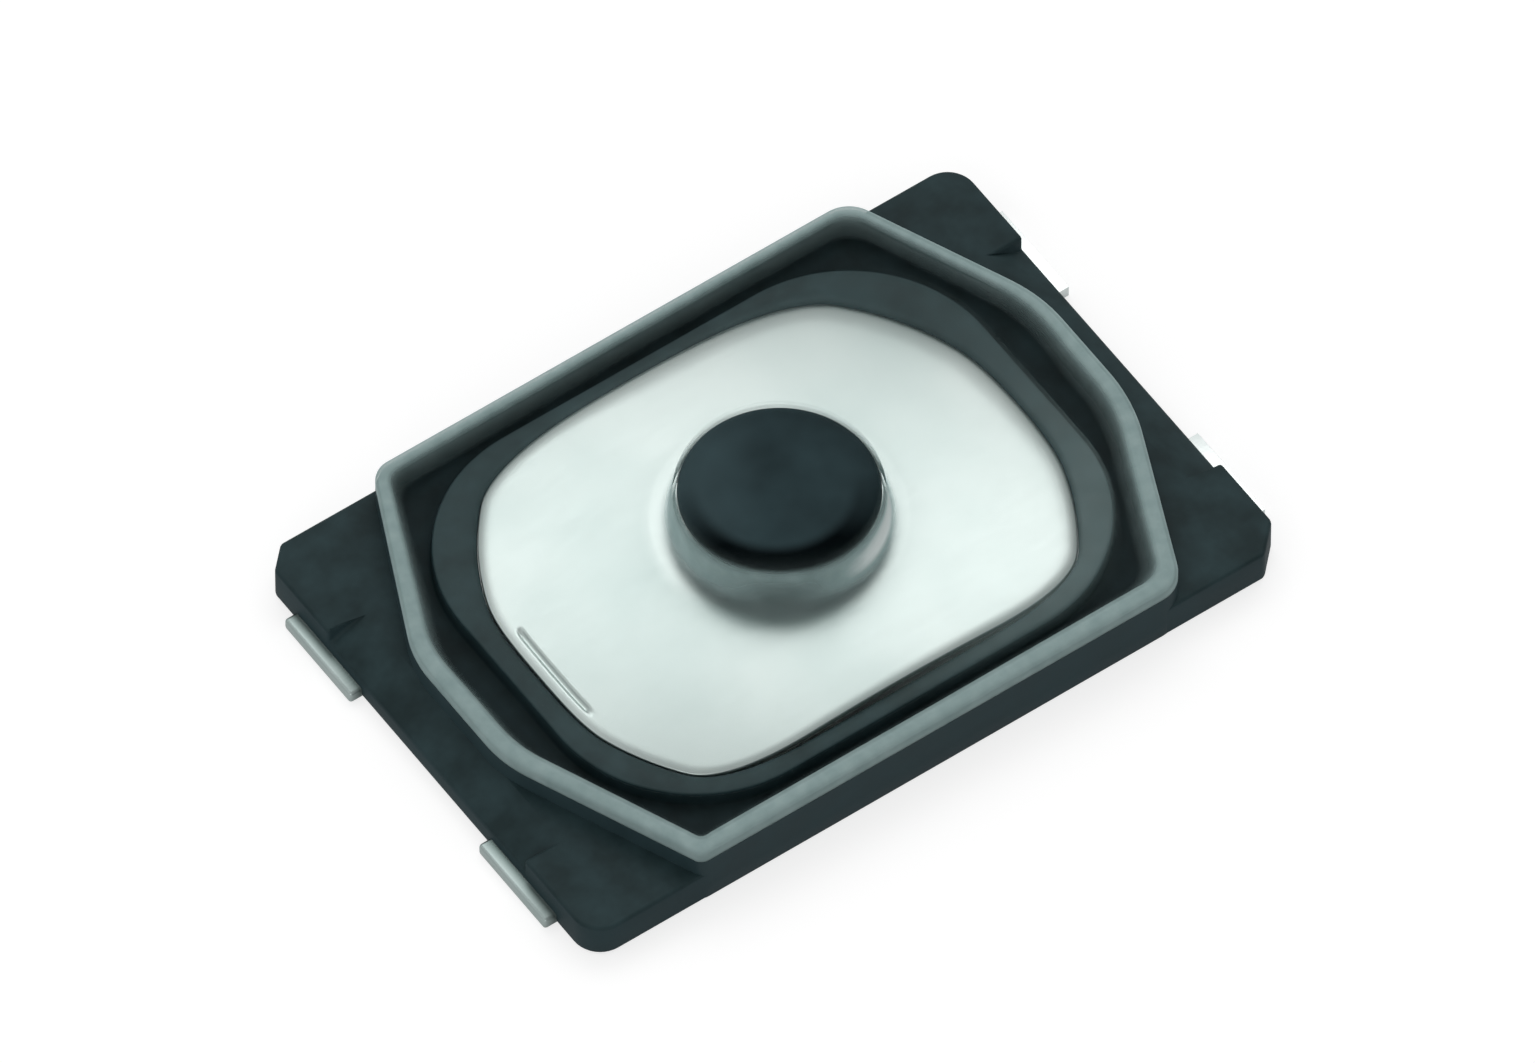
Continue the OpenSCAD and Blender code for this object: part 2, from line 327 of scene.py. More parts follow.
for side in (-1, 1):
    bpy.ops.object.select_all(action="DESELECT")
    bpy.ops.mesh.primitive_cube_add(size=1)
    cutter = bpy.context.active_object
    cutter.scale = (2 * STEP_L * MM, STEP_W * MM, 2 * STEP_DROP * MM)
    cutter.location = (side * HOUSING_L / 2 * MM, 0, EAR_H * MM)
    placed(cutter)
    bpy.ops.object.mode_set(mode="EDIT")
    mesh = bmesh.from_edit_mesh(cutter.data)
    for vertex in mesh.verts:
        if vertex.co.z < EAR_H * MM:
            inner = abs(vertex.co.x) < HOUSING_L / 2 * MM
            vertex.co.z = (EAR_H + 0.004 if inner else EAR_H - 2 * STEP_DROP) * MM
    bmesh.update_edit_mesh(cutter.data)
    bpy.ops.object.mode_set(mode="OBJECT")
    cut = flange.modifiers.new("step", "BOOLEAN")
    cut.object, cut.operation, cut.solver = cutter, "DIFFERENCE", "EXACT"
    apply_modifiers(flange)
    bpy.data.objects.remove(cutter)
EDGE_R = 0.014
rounding = flange.modifiers.new("moulded_edges", "BEVEL")
rounding.width, rounding.segments, rounding.limit_method = EDGE_R * MM, 4, "ANGLE"
rounding.angle_limit = math.radians(25)
apply_modifiers(flange)

# The rim and what lies inside it, as one turned-in wall from the underside to the pocket's floor, with
# a shade value for each ring: below 1 its skin is painted dark as shade, most in the narrow groove and the
# pocket, and above 1 where the film has frosted it.
# Above LAP_H the wall is a little further in, because the film laps over it there.
LAP_H, LAP_STEP = 0.224, 0.005
wall = [
    (rim(1.25), STAND_OFF, 1), (rim(0.6), STAND_OFF, 1), (rim(0.010), STAND_OFF, 1),
    (rim(0.003), STAND_OFF + 0.003, 1), (rim(0), STAND_OFF + 0.010, 1), (rim(0), 0.08, 1),
    (rim(0), 0.15, 1), (rim(0), LAP_H - 0.002, 1), (rim(LAP_STEP), LAP_H + 0.002, 1),
    (rim(LAP_STEP), RIM_H - 0.012, 1), (rim(LAP_STEP + 0.003), RIM_H - 0.004, 1),
    (rim(0.012), RIM_H, 1), (rim(RIM_W - 0.012, 0.3), RIM_H, 1),
    (rim(RIM_W - 0.003, 0.5), RIM_H - 0.004, 0.8), (rim(RIM_W, 0.6), RIM_H - 0.014, 0.5),
    (rim(RIM_W + 0.004, 0.7), GROOVE_H + 0.02, 0.4), (rim(RIM_W + 0.010, 0.8), GROOVE_H + 0.004, 0.4),
    (rim(RIM_W + 0.020, 0.9), GROOVE_H, 0.42),
]
groove_out, groove_in = rim(RIM_W + 0.020, 0.9), land(0.010)
wall += [(groove_out + (groove_in - groove_out) * t, GROOVE_H, 0.45) for t in (0.3, 0.6)]
wall += [
    (land(0.010), GROOVE_H, 0.4), (land(0.004), GROOVE_H + 0.004, 0.4), (land(0.0), GROOVE_H + 0.012, 0.45),
    (land(0.0), LAND_H - 0.012, 0.7), (land(-0.004), LAND_H - 0.003, 1), (land(-0.010), LAND_H, 1.5),
    (dome_edge(DOME_CLEAR + 0.018), LAND_H, 1.5), (dome_edge(DOME_CLEAR + 0.006), LAND_H - 0.007, 1.3),
    (dome_edge(DOME_CLEAR), LAND_H - 0.016, 1), (dome_edge(DOME_CLEAR), POCKET_H + 0.004, 0.4),
    (dome_edge(DOME_CLEAR - 0.004), POCKET_H, 0.1), (dome_edge(0) * 0.6, POCKET_H, 0.1),
    (dome_edge(0) * 0.2, POCKET_H, 0.1),
]
housing = lofted("moulded_housing", [ring(reach, height) for reach, height, light in wall])
housing.data.attributes.new("shade_and_frost", "FLOAT", "POINT")
levels = housing.data.attributes["ring"].data
housing.data.attributes["shade_and_frost"].data.foreach_set("value", [
    float(wall[levels[v.index].value][2]) for v in housing.data.vertices])
join = housing.modifiers.new("one_moulding", "BOOLEAN")
join.object, join.operation, join.solver = flange, "UNION", "EXACT"
apply_modifiers(housing)
bpy.data.objects.remove(flange)
bpy.ops.object.shade_smooth_by_angle(angle=math.radians(35))
# The flange below the ears' top gets no painted shade
for vertex, lit in zip(housing.data.vertices, housing.data.attributes["shade_and_frost"].data):
    if vertex.co.z < (EAR_H + 0.001) * MM:
        lit.value = 1

# Black filled polymer with the fine spark-eroded grain of its mould, which leaves soft grey patches
# where the skin is richer in glass.
moulded = bpy.data.materials.new("black_polymer_injection_moulded")
moulded.use_nodes = True
tree = moulded.node_tree
tree.nodes.clear()
where = add(tree, "ShaderNodeTexCoord").outputs["Object"]
PATCH_MM, GRAIN_MM = 0.16, 0.014
patches = add(tree, "ShaderNodeTexNoise", {"Vector": where, "Scale": 1 / (PATCH_MM * MM), "Detail": 3,
                                           "Roughness": 0.55})
grain = add(tree, "ShaderNodeTexNoise", {"Vector": where, "Scale": 1 / (GRAIN_MM * MM), "Detail": 2})
skin = add(tree, "ShaderNodeValToRGB", {"Fac": patches.outputs["Fac"]})
skin.color_ramp.elements[0].position, skin.color_ramp.elements[1].position = 0.34, 0.70
skin.color_ramp.elements[0].color = colour("#1a2b2d")
skin.color_ramp.elements[1].color = colour("#2b3e41")
gloss = add(tree, "ShaderNodeMapRange", {"Value": patches.outputs["Fac"], "To Min": 0.50, "To Max": 0.68})
shade_and_frost = add(tree, "ShaderNodeAttribute", attribute_name="shade_and_frost").outputs["Fac"]
grained = add(tree, "ShaderNodeMapRange", {"Value": shade_and_frost, "From Min": 0.9, "To Max": 0.15})
relief = add(tree, "ShaderNodeBump", {"Height": grain.outputs["Fac"], "Strength": grained.outputs[0],
                                      "Distance": 0.0015 * MM})
# Painted light: the upright walls are painted lighter than the upper faces, the more so the steeper they
# stand
facing = add(tree, "ShaderNodeNewGeometry").outputs["Normal"]
up = add(tree, "ShaderNodeSeparateXYZ", {0: facing}).outputs["Z"]
painted_wall_light = add(tree, "ShaderNodeMapRange", {"Value": up, "From Min": 0.7, "From Max": 0.0, "To Max": 0.5})
skin = add(tree, "ShaderNodeMix", {"Factor": painted_wall_light.outputs[0], "A": skin.outputs["Color"],
                                   "B": colour("#34474c")}, data_type="RGBA")
# Painted shade: rings with a shade value below 1 are mixed towards near black, darkest in the groove and the
# pocket, where shade falls
face = add(tree, "ShaderNodeMix", {"Factor": shade_and_frost, "A": colour("#060d0f"), "B": skin.outputs[2]},
           data_type="RGBA")
frost = add(tree, "ShaderNodeMapRange", {"Value": shade_and_frost, "From Min": 1.0, "From Max": 1.5,
                                         "To Max": 0.036})
face = add(tree, "ShaderNodeMix", {"Factor": frost.outputs[0], "A": face.outputs[2],
                                   "B": colour("#b0c9c8")}, data_type="RGBA")
# Painted shade: the shine is lowered on the same rings, so that the groove and the pocket reflect less
shine = add(tree, "ShaderNodeMapRange", {"Value": shade_and_frost, "To Min": 0.02, "To Max": 0.12})
surface = add(tree, "ShaderNodeBsdfPrincipled", {
    "Base Color": face.outputs[2], "Roughness": gloss.outputs[0], "IOR": 1.62,
    "Specular IOR Level": shine.outputs[0], "Normal": relief.outputs[0]})
add(tree, "ShaderNodeOutputMaterial", {"Surface": surface.outputs[0]})
housing.data.materials.clear()
housing.data.materials.append(moulded)
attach(housing, "base")
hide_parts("housing")


# Contacts. Two stampings of thin copper alloy strip with satin silver plating, bent and laid in the
# mould: one carries the dome's foot, the other the bump under its middle. Each ends in two feet.
plated = bpy.data.materials.new("silver_plating_satin")
plated.use_nodes = True
tree = plated.node_tree
tree.nodes.clear()
where = add(tree, "ShaderNodeTexCoord").outputs["Object"]
CLOUD_MM, ROLLING_MM = 0.12, 0.010
cloud = add(tree, "ShaderNodeTexNoise", {"Vector": where, "Scale": 1 / (CLOUD_MM * MM), "Detail": 3})
along = add(tree, "ShaderNodeMapping", {"Vector": where, "Scale": (0.12, 1, 1)})
lines = add(tree, "ShaderNodeTexNoise", {"Vector": along.outputs[0], "Scale": 1 / (ROLLING_MM * MM),
                                         "Detail": 2})
tone = add(tree, "ShaderNodeValToRGB", {"Fac": cloud.outputs["Fac"]})
tone.color_ramp.elements[0].position, tone.color_ramp.elements[1].position = 0.30, 0.72
tone.color_ramp.elements[0].color = colour("#e6efed")
tone.color_ramp.elements[1].color = colour("#f3f8f7")
# Painted reflection: at the left end, where the strip leaves the moulding, the plating is painted grey next
# to the housing, standing in for the black moulding mirrored in it
across = add(tree, "ShaderNodeSeparateXYZ", {0: where}).outputs["X"]
painted_housing_reflection = add(tree, "ShaderNodeValToRGB", {"Fac": add(tree, "ShaderNodeMapRange", {
    "Value": across, "From Min": -1.53 * MM, "From Max": -1.38 * MM}).outputs[0]})
painted_housing_reflection.color_ramp.elements[0].color = colour("#cfd8d7")
painted_housing_reflection.color_ramp.elements[1].color = colour("#ffffff")
painted_housing_reflection.color_ramp.elements.new(0.35).color = colour("#66716f")
tone = add(tree, "ShaderNodeMix", {"Factor": 1.0, "A": tone.outputs["Color"], "B": painted_housing_reflection.outputs["Color"]},
           data_type="RGBA", blend_type="MULTIPLY")
gloss = add(tree, "ShaderNodeMapRange", {"Value": cloud.outputs["Fac"], "To Min": 0.30, "To Max": 0.42})
relief = add(tree, "ShaderNodeBump", {"Height": lines.outputs["Fac"], "Strength": 0.25,
                                      "Distance": 0.001 * MM})
surface = add(tree, "ShaderNodeBsdfPrincipled", {
    "Base Color": tone.outputs[2], "Metallic": 1.0, "Roughness": gloss.outputs[0],
    "Normal": relief.outputs[0]})
add(tree, "ShaderNodeOutputMaterial", {"Surface": surface.outputs[0]})

CONTACT_EDGE_R = 0.012
for node, name in (
    ("outer_contact", "outer_contact_stamping"), ("middle_contact", "middle_contact_stamping"),
):
    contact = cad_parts[node].copy()
    contact.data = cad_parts[node].data.copy()
    for key in list(contact.keys()):
        del contact[key]
    contact.parent = None
    contact.name = contact.data.name = name
    bpy.context.scene.collection.objects.link(contact)
    bpy.ops.object.select_all(action="DESELECT")
    contact.select_set(True)
    bpy.context.view_layer.objects.active = contact
    bpy.ops.object.mode_set(mode="EDIT")
    bpy.ops.mesh.select_all(action="SELECT")
    bpy.ops.mesh.remove_doubles(threshold=0.0002 * MM)
    bpy.ops.mesh.dissolve_limited(angle_limit=math.radians(2))
    bpy.ops.object.mode_set(mode="OBJECT")
    rounding = contact.modifiers.new("stamped_edges", "BEVEL")
    rounding.width, rounding.segments, rounding.limit_method = CONTACT_EDGE_R * MM, 3, "ANGLE"
    rounding.angle_limit = math.radians(40)
    apply_modifiers(contact)
    bpy.ops.object.shade_smooth_by_angle(angle=math.radians(35))
    contact.data.materials.clear()
    contact.data.materials.append(plated)
    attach(contact, "base")
    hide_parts(node)


# Snap dome. A shallow spring cap, punched from thin stainless sheet with silver plating and cut off on
# four sides. What is left of its carrier strip is coined thin at the left end.
DOME_T, DOME_RISE, FOOT_R, FOOT_H = 0.04, 0.09, 1.04, 0.19
STUB_W, STUB_Y, STUB_L, STUB_GROOVE = 0.44, -0.045, 0.042, 0.011
EDGE_WIDTH, EDGE_DROP = 0.12, 0.026
dome_in_r = (FOOT_R ** 2 + DOME_RISE ** 2) / (2 * DOME_RISE)
dome_out_r = dome_in_r + DOME_T
dome_centre = FOOT_H + DOME_RISE - dome_in_r


def cap_height(reach, radius):
    """Height of a sphere that is concentric with the dome, at that distance from its middle"""
    return dome_centre + np.sqrt(radius ** 2 - np.minimum(reach, radius * 0.9) ** 2)


def rolled_off(inset, depth=EDGE_DROP):
    """How far the blanking has drawn the upper face down near the edge, most of all at the far right"""
    share = 0.25 + 0.75 * (0.5 + 0.5 * np.cos(THETA - math.radians(40))) ** 1.5
    t = np.clip(1 - np.maximum(inset, 0) / (EDGE_WIDTH * share), 0, 0.98)
    return depth * share * (1 - np.sqrt(1 - t ** 2))


def coined(inset, depth=STUB_GROOVE):
    """Depth of the line where the carrier strip was coined thin, at the middle of the left end"""
    y = dome_reach * np.sin(THETA)
    window = np.clip((STUB_W / 2 - abs(y - STUB_Y)) / 0.01, 0, 1) * (np.cos(THETA) < 0)
    return depth * window * np.interp(inset, (STUB_L - 0.008, STUB_L, STUB_L + 0.009, STUB_L + 0.017),
                                      (0, 1, 1, 0))


dome_reach, cap = dome_edge(0), []
for scale in (0.05, 0.15, 0.3, 0.45, 0.6, 0.75, 0.88, 0.96):
    cap.append(ring(dome_reach * scale, cap_height(dome_reach * scale, dome_in_r)))
cap.append(ring(dome_reach - 0.010, cap_height(dome_reach, dome_in_r)))
cap.append(ring(dome_reach - 0.003, cap_height(dome_reach, dome_in_r) + 0.002))
cap.append(ring(dome_reach, cap_height(dome_reach, dome_in_r) + 0.010))
for inset in (
    0.000, 0.003, 0.008, 0.016, 0.026, 0.034, 0.038, 0.042, 0.051, 0.055, 0.059, 0.066, 0.078, 0.092,
    0.11, 0.15,
):
    reach = dome_reach - inset
    cap.append(ring(reach, cap_height(reach, dome_out_r) - rolled_off(inset) - coined(inset)))
for scale in (0.80, 0.72, 0.64, 0.56, 0.48, 0.40, 0.32, 0.24, 0.16, 0.08, 0.02):
    cap.append(ring(dome_reach * scale, cap_height(dome_reach * scale, dome_out_r)))
dome = lofted("spring_dome", cap)

# Satin silver plating over stainless steel. It scatters the light evenly, with faint clouds and the
# lines of the rolled sheet, which are drawn coarser than the real ones so that they show.
satin = bpy.data.materials.new("stainless_steel_satin_plated")
satin.use_nodes = True
tree = satin.node_tree
tree.nodes.clear()
where = add(tree, "ShaderNodeTexCoord").outputs["Object"]
CLOUD_MM, ROLLING_MM = 0.55, 0.016
cloud = add(tree, "ShaderNodeTexNoise", {"Vector": where, "Scale": 1 / (CLOUD_MM * MM), "Detail": 2,
                                         "Roughness": 0.4})
along = add(tree, "ShaderNodeMapping", {"Vector": where, "Scale": (0.05, 1, 1)})
lines = add(tree, "ShaderNodeTexNoise", {"Vector": along.outputs[0], "Scale": 1 / (ROLLING_MM * MM),
                                         "Detail": 2})
tone = add(tree, "ShaderNodeValToRGB", {"Fac": cloud.outputs["Fac"]})
tone.color_ramp.elements[0].position, tone.color_ramp.elements[1].position = 0.30, 0.72
tone.color_ramp.elements[0].color = colour("#b3c0bd")
tone.color_ramp.elements[1].color = colour("#c3cdca")
# Painted light: beside and behind the pusher the silver is painted brighter, against the shade and dark
# reflection of its head
level = add(tree, "ShaderNodeVectorMath", {0: where, 1: (1, 1, 0)}, operation="MULTIPLY")
from_axis = add(tree, "ShaderNodeVectorMath", {0: level.outputs[0]}, operation="LENGTH").outputs["Value"]
towards = add(tree, "ShaderNodeVectorMath", {0: level.outputs[0]}, operation="NORMALIZE")
ahead = add(tree, "ShaderNodeVectorMath", {0: towards.outputs[0], 1: (-0.53, -0.85, 0)},
            operation="DOT_PRODUCT").outputs["Value"]
beside = add(tree, "ShaderNodeMapRange", {"Value": ahead, "From Min": 0.95, "From Max": 0.55},
             interpolation_type="SMOOTHSTEP")
close = add(tree, "ShaderNodeMapRange", {"Value": from_axis, "From Min": 0.475 * MM, "From Max": 0.395 * MM},
            interpolation_type="SMOOTHSTEP")
painted_light_by_pusher = add(tree, "ShaderNodeMath", {0: beside.outputs[0], 1: close.outputs[0]}, operation="MULTIPLY")
tone = add(tree, "ShaderNodeMix", {"Factor": painted_light_by_pusher.outputs[0], "A": tone.outputs["Color"],
                                   "B": colour("#ccd6d3")}, data_type="RGBA")
gloss = add(tree, "ShaderNodeMapRange", {"Value": lines.outputs["Fac"], "To Min": 0.30, "To Max": 0.38})
relief = add(tree, "ShaderNodeBump", {"Height": lines.outputs["Fac"], "Strength": 0.08,
                                      "Distance": 0.001 * MM})
surface = add(tree, "ShaderNodeBsdfPrincipled", {
    "Base Color": tone.outputs[2], "Metallic": 1.0, "Roughness": gloss.outputs[0],
    "Normal": relief.outputs[0]})
add(tree, "ShaderNodeOutputMaterial", {"Surface": surface.outputs[0]})
dome.data.materials.append(satin)
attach(dome, "button")
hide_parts("snap_dome")
# Height of the crown's upper face, on which the pusher's tip stands; the dome gets a mesh of its own
CROWN_H = FOOT_H + DOME_RISE + DOME_T
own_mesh(dome)


# Pusher. A small black nylon moulding that stands loose between dome and film: a round head with a
# matt top and a rounded, smoother edge that is painted dark as shade, over a cone that ends in a small tip
# on the dome.
PUSHER_R, TIP_R, PUSHER_TOP = 0.354, 0.20, 0.52
# It stands loose, a little off the middle
PUSHER_AT = (0.009, -0.014)
profile = [
    (0.02, CROWN_H), (0.12, CROWN_H), (TIP_R - 0.012, CROWN_H), (TIP_R - 0.003, CROWN_H + 0.004),
    (TIP_R + 0.002, CROWN_H + 0.012), (0.206, 0.36), (0.215, 0.40), (0.235, 0.43), (0.270, 0.447),
    (0.308, 0.458), (0.335, 0.466), (0.349, 0.475), (PUSHER_R, 0.484), (0.352, 0.491), (0.345, 0.499),
    (0.334, 0.5055), (0.319, 0.5105), (0.299, 0.5145), (0.274, 0.517), (0.244, 0.5185), (0.204, 0.5193),
    (0.160, 0.5197), (0.080, PUSHER_TOP), (0.020, PUSHER_TOP),
]
pusher = lofted("button_pusher", [ring(np.full(SPOKES, r), z, PUSHER_AT) for r, z in profile])

# Black nylon, matt where the mould was spark eroded on top; its rounded edge is painted near black with no
# shine, standing in for the shade and dark reflection it has at the front
nylon = bpy.data.materials.new("black_nylon_injection_moulded")
nylon.use_nodes = True
tree = nylon.node_tree
tree.nodes.clear()
where = add(tree, "ShaderNodeTexCoord").outputs["Object"]
level = add(tree, "ShaderNodeVectorMath", {0: where, 1: (1, 1, 0)}, operation="MULTIPLY")
from_axis = add(tree, "ShaderNodeVectorMath", {0: level.outputs[0]}, operation="LENGTH").outputs["Value"]
FLAT_R, EDGE_SHADE_R = 0.245, 0.305
rounded = add(tree, "ShaderNodeMapRange", {"Value": from_axis, "From Min": FLAT_R * MM,
                                           "From Max": EDGE_SHADE_R * MM}, interpolation_type="SMOOTHSTEP")
# Painted shade: the edge's painted darkness fades towards the far side and is darkest at the front
forwards = add(tree, "ShaderNodeVectorMath", {0: where, 1: (-0.50, -0.87, 0)}, operation="DOT_PRODUCT")
painted_front_shade = add(tree, "ShaderNodeMapRange", {"Value": forwards.outputs["Value"], "From Min": -0.03 * MM,
                                          "From Max": 0.24 * MM, "To Min": 0.10, "To Max": 1.0})
dark = add(tree, "ShaderNodeMath", {0: rounded.outputs[0], 1: painted_front_shade.outputs[0]}, operation="MULTIPLY")
PATCH_MM, GRAIN_MM = 0.25, 0.012
patches = add(tree, "ShaderNodeTexNoise", {"Vector": where, "Scale": 1 / (PATCH_MM * MM), "Detail": 2})
grain = add(tree, "ShaderNodeTexNoise", {"Vector": where, "Scale": 1 / (GRAIN_MM * MM), "Detail": 2})
matt = add(tree, "ShaderNodeValToRGB", {"Fac": patches.outputs["Fac"]})
matt.color_ramp.elements[0].position, matt.color_ramp.elements[1].position = 0.3, 0.7
matt.color_ramp.elements[0].color = colour("#202e31")
matt.color_ramp.elements[1].color = colour("#2f4145")
# The matt top is lighter towards its left side
leftwards = add(tree, "ShaderNodeVectorMath", {0: where, 1: (-0.82, 0.58, 0)}, operation="DOT_PRODUCT")
lighter_leftwards = add(tree, "ShaderNodeMapRange", {"Value": leftwards.outputs["Value"], "From Min": 0.02 * MM,
                                        "From Max": 0.34 * MM, "To Max": 0.7})
matt = add(tree, "ShaderNodeMix", {"Factor": lighter_leftwards.outputs[0], "A": matt.outputs["Color"],
                                   "B": colour("#3f5155")}, data_type="RGBA")
skin = add(tree, "ShaderNodeMix", {"Factor": dark.outputs[0], "A": matt.outputs[2],
                                   "B": colour("#060b0d")}, data_type="RGBA")
gloss = add(tree, "ShaderNodeMapRange", {"Value": dark.outputs[0], "To Min": 0.60, "To Max": 0.40})
relief = add(tree, "ShaderNodeBump", {"Height": grain.outputs["Fac"], "Strength": 0.06,
                                      "Distance": 0.001 * MM})
shine = add(tree, "ShaderNodeMapRange", {"Value": dark.outputs[0], "To Min": 0.05, "To Max": 0.0})
surface = add(tree, "ShaderNodeBsdfPrincipled", {
    "Base Color": skin.outputs[2], "Roughness": gloss.outputs[0], "IOR": 1.53,
    "Specular IOR Level": shine.outputs[0], "Normal": relief.outputs[0]})
add(tree, "ShaderNodeOutputMaterial", {"Surface": surface.outputs[0]})
pusher.data.materials.append(nylon)
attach(pusher, "button")
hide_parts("pusher")


# Film. One thin clear polyamide sheet, drawn down warm over the whole top and welded to the rim. It is
# clear where it lies flat, and milky where the weld has melted it and where the pusher's boss is drawn up.
FILM_T, LAND_FILM = 0.012, 0.260
CREST, GROOVE_FILM = 0.280, 0.200
# Height of the film's upper face over the dome
OVER_DOME = 0.04
BOSS_R, BOSS_FOOT_R, BOSS_TOP = 0.370, 0.46, 0.550

film_rings, milk_rings = [], []


def lay(reach, height, milk, centre=(0, 0)):
    """One more ring of the film's upper face, from the rim inwards, and how milky it is there"""
    film_rings.append(ring(reach, height, centre))
    milk_rings.append(np.broadcast_to(milk, (SPOKES,)))


for inset, soften, height, milk in (
    (0.000, 0.0, LAP_H, 0.10), (0.000, 0.0, 0.230, 0.40), (0.000, 0.0, 0.238, 0.52),
    (0.000, 0.0, 0.262, 0.54), (0.002, 0.0, 0.270, 0.52), (0.007, 0.0, 0.277, 0.50),
    (0.016, 0.2, CREST, 0.48), (0.030, 0.4, CREST, 0.48), (0.042, 0.6, 0.279, 0.47),
    (0.050, 0.7, 0.274, 0.40), (0.056, 0.8, 0.266, 0.26), (0.062, 0.8, 0.254, 0.15),
    (0.069, 0.9, 0.240, 0.09), (0.076, 1.0, 0.224, 0.06), (0.086, 1.1, 0.207, 0.03),
    (0.098, 1.1, GROOVE_FILM, 0.0),
):
    lay(rim(inset, soften), height, milk)
groove_out, groove_in = rim(0.098, 1.1), land(0.022)
for t in (0.33, 0.66):
    lay(groove_out + (groove_in - groove_out) * t, GROOVE_FILM - 0.002, 0.0)
# The land's film is milkier towards the right, where the sheet was stretched over it last
right = 0.5 + 0.5 * np.cos(THETA - math.radians(-38))
land_milk = 0.11 * right ** 8
for grow, height, share in (
    (0.022, GROOVE_FILM + 0.001, 0.1), (0.016, GROOVE_FILM + 0.008, 0.2), (0.011, 0.222, 0.4),
    (0.006, 0.242, 0.7), (-0.001, 0.254, 1.0), (-0.010, LAND_FILM, 1.0),
):
    lay(land(grow), height, share * land_milk)
for grow, blend_in in ((0.022, 0.1), (0.014, 0.3), (0.006, 0.6), (-0.004, 0.9)):
    reach = dome_edge(grow)
    over = cap_height(reach, dome_out_r) + OVER_DOME - EDGE_DROP * 0.6
    lay(reach, LAND_FILM + (over - LAND_FILM) * blend_in, land_milk + (0.02 - land_milk) * blend_in)
for inset in (0.015, 0.026, 0.034, 0.042, 0.051, 0.059, 0.07, 0.09, 0.12, 0.16):
    reach = dome_reach - inset
    sag = rolled_off(inset, EDGE_DROP * 0.7) + coined(inset, 0.01)
    lay(reach, cap_height(reach, dome_out_r) + OVER_DOME - sag, 0.02)
# From there the rings turn from the dome's outline to circles round the boss
outer = dome_reach - 0.16
for t in (0.15, 0.3, 0.45, 0.6, 0.75, 0.87, 1.0):
    reach = outer + (BOSS_FOOT_R - outer) * t
    lay(reach, cap_height(reach, dome_out_r) + OVER_DOME, 0.02 + 0.03 * t ** 4,
        (PUSHER_AT[0] * t, PUSHER_AT[1] * t))
# The boss, with its milkiness at the front, where the sheet was drawn thinnest, at the sides and behind
front = np.cos(THETA - math.radians(-125))
before, behind = np.maximum(front, 0) ** 7, np.maximum(-front, 0) ** 2
# Painted light: the milk at the sides is raised towards the right, so that the boss's right side shows
# lighter
rightwards = np.maximum(np.cos(THETA - math.radians(-55)), 0) ** 4
beside = (1 - before - behind) * (1 + 0.55 * rightwards)
for reach, rise, at_front, at_side, at_back in (
    (0.446, 0.001, 0.08, 0.03, 0.03), (0.430, 0.003, 0.11, 0.05, 0.04), (0.414, 0.006, 0.13, 0.09, 0.05),
    (0.401, 0.012, 0.13, 0.20, 0.06), (0.391, 0.021, 0.13, 0.38, 0.08), (0.384, 0.034, 0.15, 0.50, 0.10),
    (0.379, 0.050, 0.18, 0.53, 0.11), (0.375, 0.075, 0.22, 0.52, 0.12),
):
    lay(np.full(SPOKES, reach), cap_height(reach, dome_out_r) + OVER_DOME + rise,
        at_front * before + at_side * beside + at_back * behind, PUSHER_AT)
for reach, height, at_front, at_side, at_back in (
    (0.373, 0.448, 0.29, 0.48, 0.10), (0.372, 0.465, 0.36, 0.42, 0.06), (0.371, 0.478, 0.40, 0.34, 0.03),
    (BOSS_R, 0.490, 0.38, 0.22, 0.02), (0.368, 0.500, 0.28, 0.10, 0.02), (0.366, 0.508, 0.12, 0.04, 0.02),
    (0.363, 0.517, 0.03, 0.02, 0.02), (0.355, 0.528, 0.015, 0.01, 0.02), (0.343, 0.538, 0.008, 0.0, 0.02),
    (0.327, 0.545, 0.003, 0.0, 0.01), (0.300, 0.549, 0.0, 0.0, 0.0), (0.240, BOSS_TOP, 0.0, 0.0, 0.0),
    (0.160, BOSS_TOP, 0.0, 0.0, 0.0), (0.080, BOSS_TOP, 0.0, 0.0, 0.0), (0.020, BOSS_TOP, 0.0, 0.0, 0.0),
):
    lay(np.full(SPOKES, reach), height, at_front * before + at_side * beside + at_back * behind, PUSHER_AT)
film = lofted("sealing_film", film_rings, closed=False)

milkiness = film.data.attributes.new("milkiness", "FLOAT", "POINT")
spokes = film.data.attributes["spoke"].data
levels = film.data.attributes["ring"].data
milkiness.data.foreach_set("value", [
    float(milk_rings[levels[v.index].value][spokes[v.index].value]) for v in film.data.vertices])
thickness = film.modifiers.new("film_thickness", "SOLIDIFY")
thickness.thickness, thickness.offset = FILM_T * MM, -1
apply_modifiers(film)

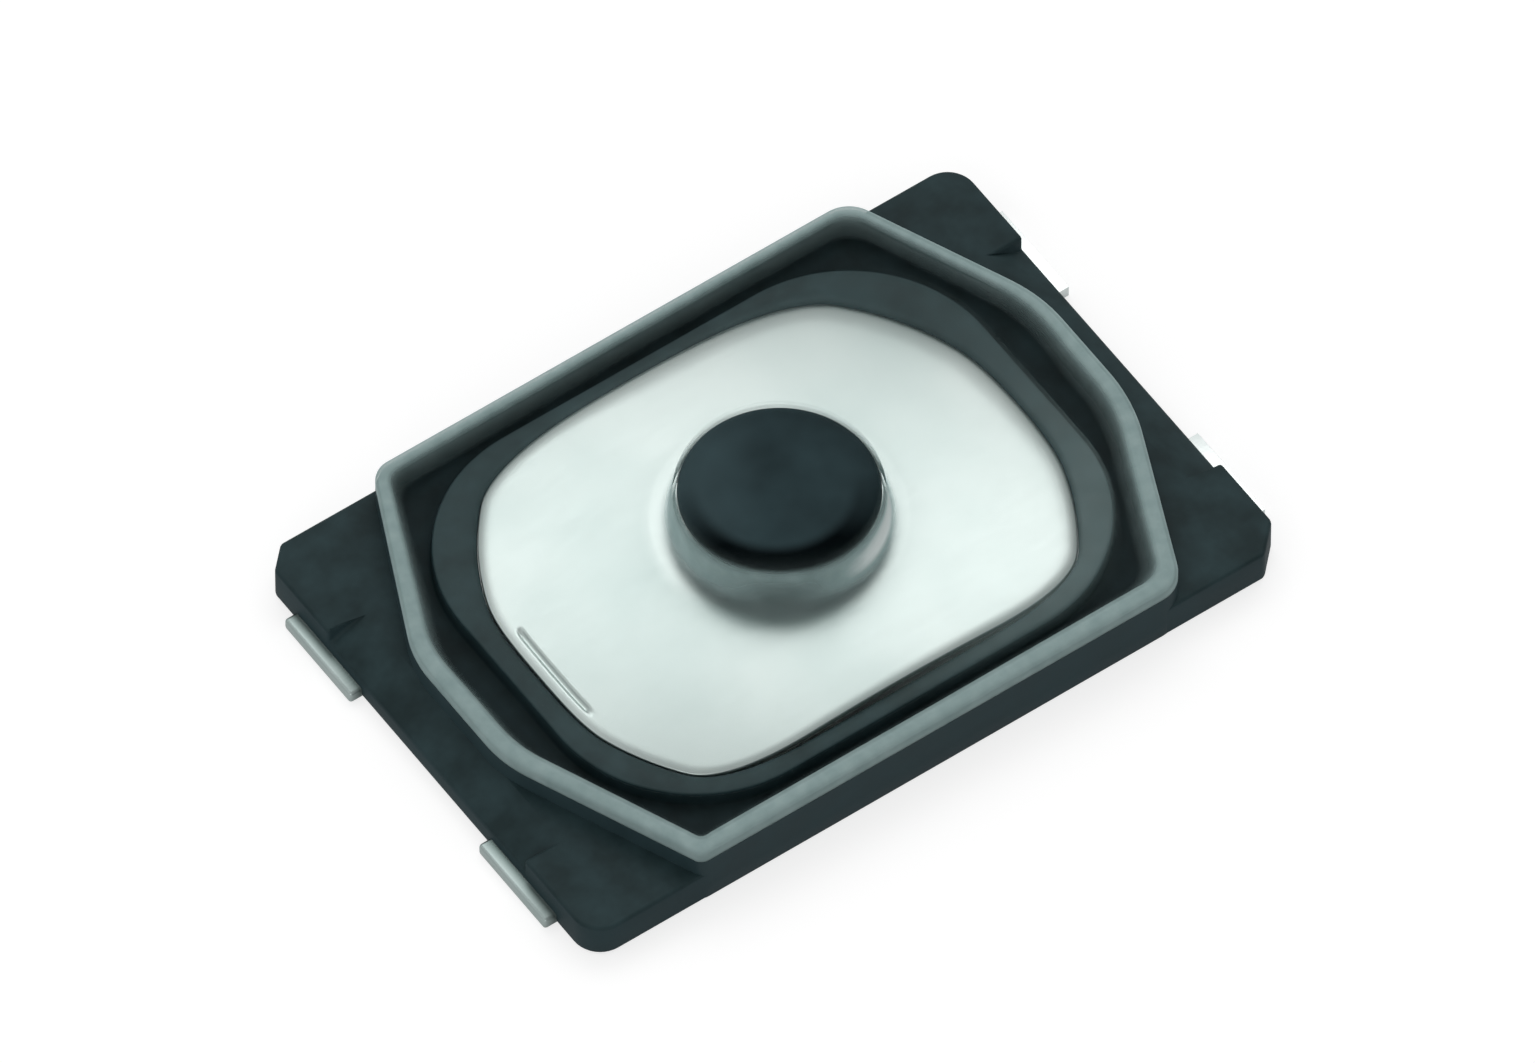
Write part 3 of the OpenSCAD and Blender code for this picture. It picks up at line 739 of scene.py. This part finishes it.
# Clear drawn film: the milk in it hides what lies below, and its skin has a soft gloss
clear = bpy.data.materials.new("clear_polyamide_film_drawn")
clear.use_nodes = True
tree = clear.node_tree
tree.nodes.clear()
where = add(tree, "ShaderNodeTexCoord").outputs["Object"]
milk = add(tree, "ShaderNodeAttribute", attribute_name="milkiness").outputs["Fac"]
MOTTLE_MM = 0.07
mottle = add(tree, "ShaderNodeTexNoise", {"Vector": where, "Scale": 1 / (MOTTLE_MM * MM), "Detail": 3})
uneven = add(tree, "ShaderNodeMapRange", {"Value": mottle.outputs["Fac"], "To Min": 0.86, "To Max": 1.14})
# Seen edge on, the haze is denser
slant = add(tree, "ShaderNodeLayerWeight", {"Blend": 0.5}).outputs["Facing"]
steep = add(tree, "ShaderNodeMath", {0: slant, 1: 2.0}, operation="POWER")
denser = add(tree, "ShaderNodeMath", {0: steep.outputs[0], 1: 1.2, 2: 1.0}, operation="MULTIPLY_ADD")
haze = add(tree, "ShaderNodeMath", {0: milk, 1: uneven.outputs[0]}, operation="MULTIPLY")
cover = add(tree, "ShaderNodeMath", {0: haze.outputs[0], 1: denser.outputs[0]}, operation="MULTIPLY",
            use_clamp=True)
tone = add(tree, "ShaderNodeValToRGB", {"Fac": mottle.outputs["Fac"]})
tone.color_ramp.elements[0].color = colour("#a4bfbe")
tone.color_ramp.elements[1].color = colour("#bdd3d2")
# Painted light: where the milk is thickest, at the right side of the boss, the film is painted whiter, as if
# lit through from behind
painted_backlight = add(tree, "ShaderNodeMapRange", {"Value": milk, "From Min": 0.56, "From Max": 0.80})
tone = add(tree, "ShaderNodeMix", {"Factor": painted_backlight.outputs[0], "A": tone.outputs["Color"],
                                   "B": colour("#f2faf9")}, data_type="RGBA")
surface = add(tree, "ShaderNodeBsdfPrincipled", {
    "Base Color": tone.outputs[2], "Roughness": 0.42, "IOR": 1.53,
    "Specular IOR Level": 0.08, "Alpha": cover.outputs[0]})
add(tree, "ShaderNodeOutputMaterial", {"Surface": surface.outputs[0]})
film.data.materials.append(clear)
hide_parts("cover_film")
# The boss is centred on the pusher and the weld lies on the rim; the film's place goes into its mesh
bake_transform(film)

bpy.context.view_layer.update()
